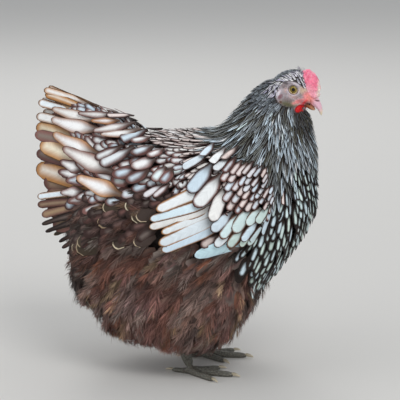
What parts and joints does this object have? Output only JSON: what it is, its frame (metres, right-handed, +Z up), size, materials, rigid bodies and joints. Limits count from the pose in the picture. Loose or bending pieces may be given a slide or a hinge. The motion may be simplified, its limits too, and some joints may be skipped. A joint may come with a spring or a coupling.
{
  "type": "standing laced hen",
  "caption": "Life-size hen at rest on both feet, with laced plumage, a fanned tail, folded wings and deep fluff.",
  "frame": {"origin": "middle of the whole bird's box, on the floor it stands on", "axes": "+X towards the beak, +Y to the hen's left, +Z up"},
  "size_m": [0.396, 0.2592, 0.4209],
  "materials": {
    "plumage": "feathers, white with chocolate-brown edges",
    "fluff": "soft down, brown to slate",
    "bare_skin": "bare skin, coral to red, pebbled on the comb",
    "leg_scales": "dull scutes",
    "horn": "satin horn",
    "eye": "wet, glossy"
  },
  "bodies": {
    "root": {"trunk": "plumage", "neck": "plumage", "head": "plumage", "tail": "plumage", "wing_left": "plumage", "wing_right": "plumage", "thigh_left": "fluff", "thigh_right": "fluff", "shank_left": "leg_scales", "shank_right": "leg_scales", "foot_left": "leg_scales", "foot_right": "leg_scales", "claw_left_middle": "horn", "claw_left_inner": "horn", "claw_left_outer": "horn", "claw_left_back": "horn", "claw_right_middle": "horn", "claw_right_inner": "horn", "claw_right_outer": "horn", "claw_right_back": "horn", "beak_upper": "horn", "beak_lower": "horn", "comb": "bare_skin", "wattle_left": "bare_skin", "wattle_right": "bare_skin", "earlobe_left": "bare_skin", "earlobe_right": "bare_skin", "eye_left": "eye", "eye_right": "eye"}
  },
  "joints": []
}
